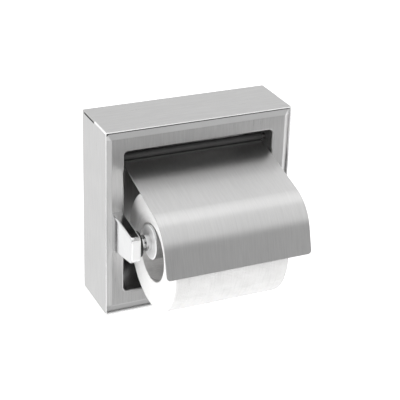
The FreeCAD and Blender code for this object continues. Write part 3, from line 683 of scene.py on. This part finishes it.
def make_roll():
    """Wound paper: spiral outside with its glued tail, uneven plies on the ends, bore round the core."""
    low, high = corners(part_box("paper_roll"))
    core_low, core_high = corners(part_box("cardboard_core"))
    centre = (low + high) / 2
    radius = (high.z - low.z) / 2
    half = (high.x - low.x) / 2
    bore = (core_high.z - core_low.z) / 2 + CORE_CLEARANCE
    uneven = smooth_noise(4, 5)
    depths = ring_depths()
    end_waves = {-1: smooth_noise(7, 4), 1: smooth_noise(9, 4)}

    def outer(turn, x):
        """The radius of the outside: a step up at the tail, then slowly less round the roll."""
        lag = ((turn - TAIL_TURN) % math.tau) / math.tau
        sag = SAG * (1 + math.sin(x * SAG_WAVE + uneven(turn)))
        return radius - TAIL_STEP * lag - OUT_OF_ROUND * (1.0 + 0.5 * uneven(turn)) - sag

    def end_point(side, index, turn):
        """A point of an end's ring; the rings even out at the bore and, less, at the edge."""
        share = index / END_RINGS
        top = outer(turn, side * half) - EDGE_ROUNDING
        fade = min(1.0, share * FADE_RATE, (1 - share) * FADE_RATE + LEFT_AT_EDGE)
        wave = end_waves[side](turn + share * WAVE_TURN)
        depth = depths[index] + END_WAVE * (1 + 0.5 * wave)
        return side * (half - depth * fade), bore + (top - bore) * share

    def edge_point(side, degrees, turn):
        angle = math.radians(degrees)
        x = side * (half - EDGE_ROUNDING * (1 - math.cos(angle)))
        return x, outer(turn, side * half) - EDGE_ROUNDING * (1 - math.sin(angle))

    def outside_point(index, turn):
        x = (-1 + 2 * (index + 0.5) / OUTSIDE_STEPS) * (half - EDGE_ROUNDING)
        return x, outer(turn, x)

    def section(turn):
        """Places along the roll and distances from its axis, from the bore over both ends and back."""
        ends = {}
        for side in (-1, 1):
            points = [end_point(side, index, turn) for index in range(END_RINGS + 1)]
            ends[side] = points + [edge_point(side, degrees, turn) for degrees in EDGE_ANGLES]
        outside = [outside_point(index, turn) for index in range(OUTSIDE_STEPS)]
        return ends[-1] + outside + ends[1][::-1]

    bm = bmesh.new()
    columns = []
    for step in range(ROLL_STEPS):
        turn = math.tau * step / ROLL_STEPS
        cos_turn, sin_turn = math.cos(turn), math.sin(turn)
        column = []
        for x, distance in section(turn):
            place = (centre.x + x, centre.y + distance * cos_turn, centre.z + distance * sin_turn)
            column.append(bm.verts.new(place))
        columns.append(column)
    skin(bm, columns + columns[:1])
    bmesh.ops.recalc_face_normals(bm, faces=bm.faces)
    for face in bm.faces:
        face.smooth = True
    roll = place_mesh("tissue_roll", bm, tissue("tissue_paper", centre))
    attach(roll, "roll")
    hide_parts("paper_roll")


# ---------------------------------------------------------------- spring


WIRE_RADIUS = 0.6 * MM
WIRE_SIDES = 12
SPRING_TURNS = 8
STEPS_IN_TURN = 40


def make_spring():
    """Compression spring in the roller, attached to the roller with a mesh of its own."""
    low, high = corners(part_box("roller_spring"))
    centre = (low + high) / 2
    mean = (high.z - low.z) / 2 - WIRE_RADIUS
    start = low.x + WIRE_RADIUS
    length = high.x - low.x - 2 * WIRE_RADIUS
    steps = SPRING_TURNS * STEPS_IN_TURN
    bm = bmesh.new()
    rings = []
    for step in range(steps + 1):
        share = step / steps
        turn = math.tau * SPRING_TURNS * share
        outward = Vector((0, math.cos(turn), math.sin(turn)))
        wire = Vector((start + length * share, centre.y, centre.z)) + outward * mean
        ring = []
        for index in range(WIRE_SIDES):
            angle = math.tau * index / WIRE_SIDES
            offset = outward * math.cos(angle) + Vector((1, 0, 0)) * math.sin(angle)
            ring.append(bm.verts.new(wire + offset * WIRE_RADIUS))
        rings.append(ring)
    skin(bm, rings)
    bm.faces.new(rings[0])
    bm.faces.new(rings[-1])
    bmesh.ops.recalc_face_normals(bm, faces=bm.faces)
    for face in bm.faces:
        # the two flat ends of the wire stay sharp
        face.smooth = len(face.verts) == 4
    spring = place_mesh("coil_spring", bm, turned_steel("spring_wire", tone=0.42, roughness=0.25))
    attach(spring, "roller")
    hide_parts("roller_spring")
    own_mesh(spring)


# ---------------------------------------------------------------- stage


# degrees round from straight in front, up, and about the line of sight
CAMERA_AZIMUTH = -25.318
CAMERA_ELEVATION = 25.938
CAMERA_ROLL = 1.965
CAMERA_DISTANCE = 0.99669
CAMERA_LENS = 111.73
# the camera aims at the middle of the box's front, moved by these so that the object sits as in the photo
AIM = Vector((0.0, -SHELL_FRONT, 0.0))
AIM_RIGHT = 1.2 * MM
AIM_UP = 8.9 * MM

FLOOR_HALF = 4.0
FLOOR_CLEARANCE = 0.2 * MM

# The studio is a bright room; each patch darkens or lightens it about one direction:
# name, direction, cosine where the patch ends, cosine where it is whole, level.
STUDIO_LEVEL = 0.93
STUDIO_PATCHES = (
    ("low_front", (0.385, -0.91, -0.11), 0.80, 0.975, 0.30),
    ("camera_side", (-0.40, -0.80, 0.45), 0.90, 0.97, 0.08),
    ("high_back", (0.36, 0.70, 0.60), 0.80, 0.95, 0.81),
    ("left_back", (-0.40, 0.81, -0.43), 0.80, 0.95, 1.04),
    ("right", (0.93, -0.25, -0.20), 0.70, 0.93, 1.3),
    ("below", (0.0, 0.0, -1.0), 0.80, 1.0, 0.7),
)


def make_camera():
    azimuth = math.radians(CAMERA_AZIMUTH)
    elevation = math.radians(CAMERA_ELEVATION)
    back = Vector(
        (
            math.sin(azimuth) * math.cos(elevation),
            -math.cos(azimuth) * math.cos(elevation),
            math.sin(elevation),
        )
    )
    level = Vector((0, 0, 1)).cross(back).normalized()
    rise = back.cross(level)
    roll = math.radians(CAMERA_ROLL)
    right = level * math.cos(roll) + rise * math.sin(roll)
    up = rise * math.cos(roll) - level * math.sin(roll)
    data = bpy.data.cameras.new("camera")
    data.lens = CAMERA_LENS
    data.sensor_width = 36.0
    data.clip_start = 0.01
    data.clip_end = 20.0
    camera = bpy.data.objects.new("camera", data)
    bpy.context.scene.collection.objects.link(camera)
    place = AIM + back * CAMERA_DISTANCE + right * AIM_RIGHT + up * AIM_UP
    turned = Matrix((right, up, back)).transposed().to_4x4()
    camera.matrix_world = Matrix.Translation(place) @ turned
    bpy.context.scene.camera = camera


def make_floor():
    """Pale flat floor just under the object, nearly as bright as the room, left out of reflections."""
    n = Nodes("floor_paper")
    mottle = n.noise(14.0, detail=3.0)
    n.set(Base_Color=n.blend(n.spread(mottle, 0.3, 0.7), grey(0.90), grey(0.88)), Roughness=0.9)
    n.set(Emission_Color=grey(1.0), Emission_Strength=0.6)
    bm = bmesh.new()
    bmesh.ops.create_grid(bm, x_segments=8, y_segments=8, size=FLOOR_HALF)
    floor = place_mesh("floor", bm, n.material)
    floor.location = (0, 0, cad_low.z - FLOOR_CLEARANCE)
    floor.visible_glossy = False


def area_light(name, place, target, size, power, glossy=True):
    data = bpy.data.lights.new(name, "AREA")
    data.shape = "RECTANGLE"
    data.size, data.size_y = size
    data.energy = power
    light = bpy.data.objects.new(name, data)
    bpy.context.scene.collection.objects.link(light)
    place = Vector(place)
    turned = (Vector(target) - place).to_track_quat("-Z", "Y").to_matrix().to_4x4()
    light.matrix_world = Matrix.Translation(place) @ turned
    light.visible_glossy = glossy


def make_room():
    """The world: an even level, with each patch blended over it."""
    world = bpy.data.worlds.new("studio")
    world.use_nodes = True
    nodes = world.node_tree.nodes
    links = world.node_tree.links
    nodes.clear()
    coordinates = nodes.new("ShaderNodeTexCoord")
    level = None
    for name, direction, outside, inside, brightness in STUDIO_PATCHES:
        lean = nodes.new("ShaderNodeVectorMath")
        lean.operation = "DOT_PRODUCT"
        lean.inputs[1].default_value = Vector(direction).normalized()
        patch = nodes.new("ShaderNodeMapRange")
        patch.name = name
        patch.interpolation_type = "SMOOTHSTEP"
        patch.inputs["From Min"].default_value = outside
        patch.inputs["From Max"].default_value = inside
        blend = nodes.new("ShaderNodeMix")
        blend.data_type = "FLOAT"
        blend.inputs[2].default_value = STUDIO_LEVEL
        blend.inputs[3].default_value = brightness
        links.new(coordinates.outputs["Generated"], lean.inputs[0])
        links.new(lean.outputs["Value"], patch.inputs["Value"])
        links.new(patch.outputs["Result"], blend.inputs["Factor"])
        if level is not None:
            links.new(level, blend.inputs[2])
        level = blend.outputs[0]
    background = nodes.new("ShaderNodeBackground")
    links.new(level, background.inputs["Color"])
    output = nodes.new("ShaderNodeOutputWorld")
    links.new(background.outputs[0], output.inputs["Surface"])
    bpy.context.scene.world = world


def make_lights():
    area_light("overhead", (0.15, 0.11, 0.95), (0.15, 0.11, 0.0), (1.5, 0.8), 1.1)
    area_light("left_fill", (-1.1, -0.55, -0.05), (-0.05, -0.08, -0.03), (0.8, 0.8), 7.0, glossy=False)


def set_view():
    scene = bpy.context.scene
    scene.view_settings.view_transform = "Standard"
    scene.view_settings.look = "None"
    scene.view_settings.exposure = 0.0


paint_cad()
make_roll()
make_spring()
make_camera()
make_floor()
make_room()
make_lights()
set_view()
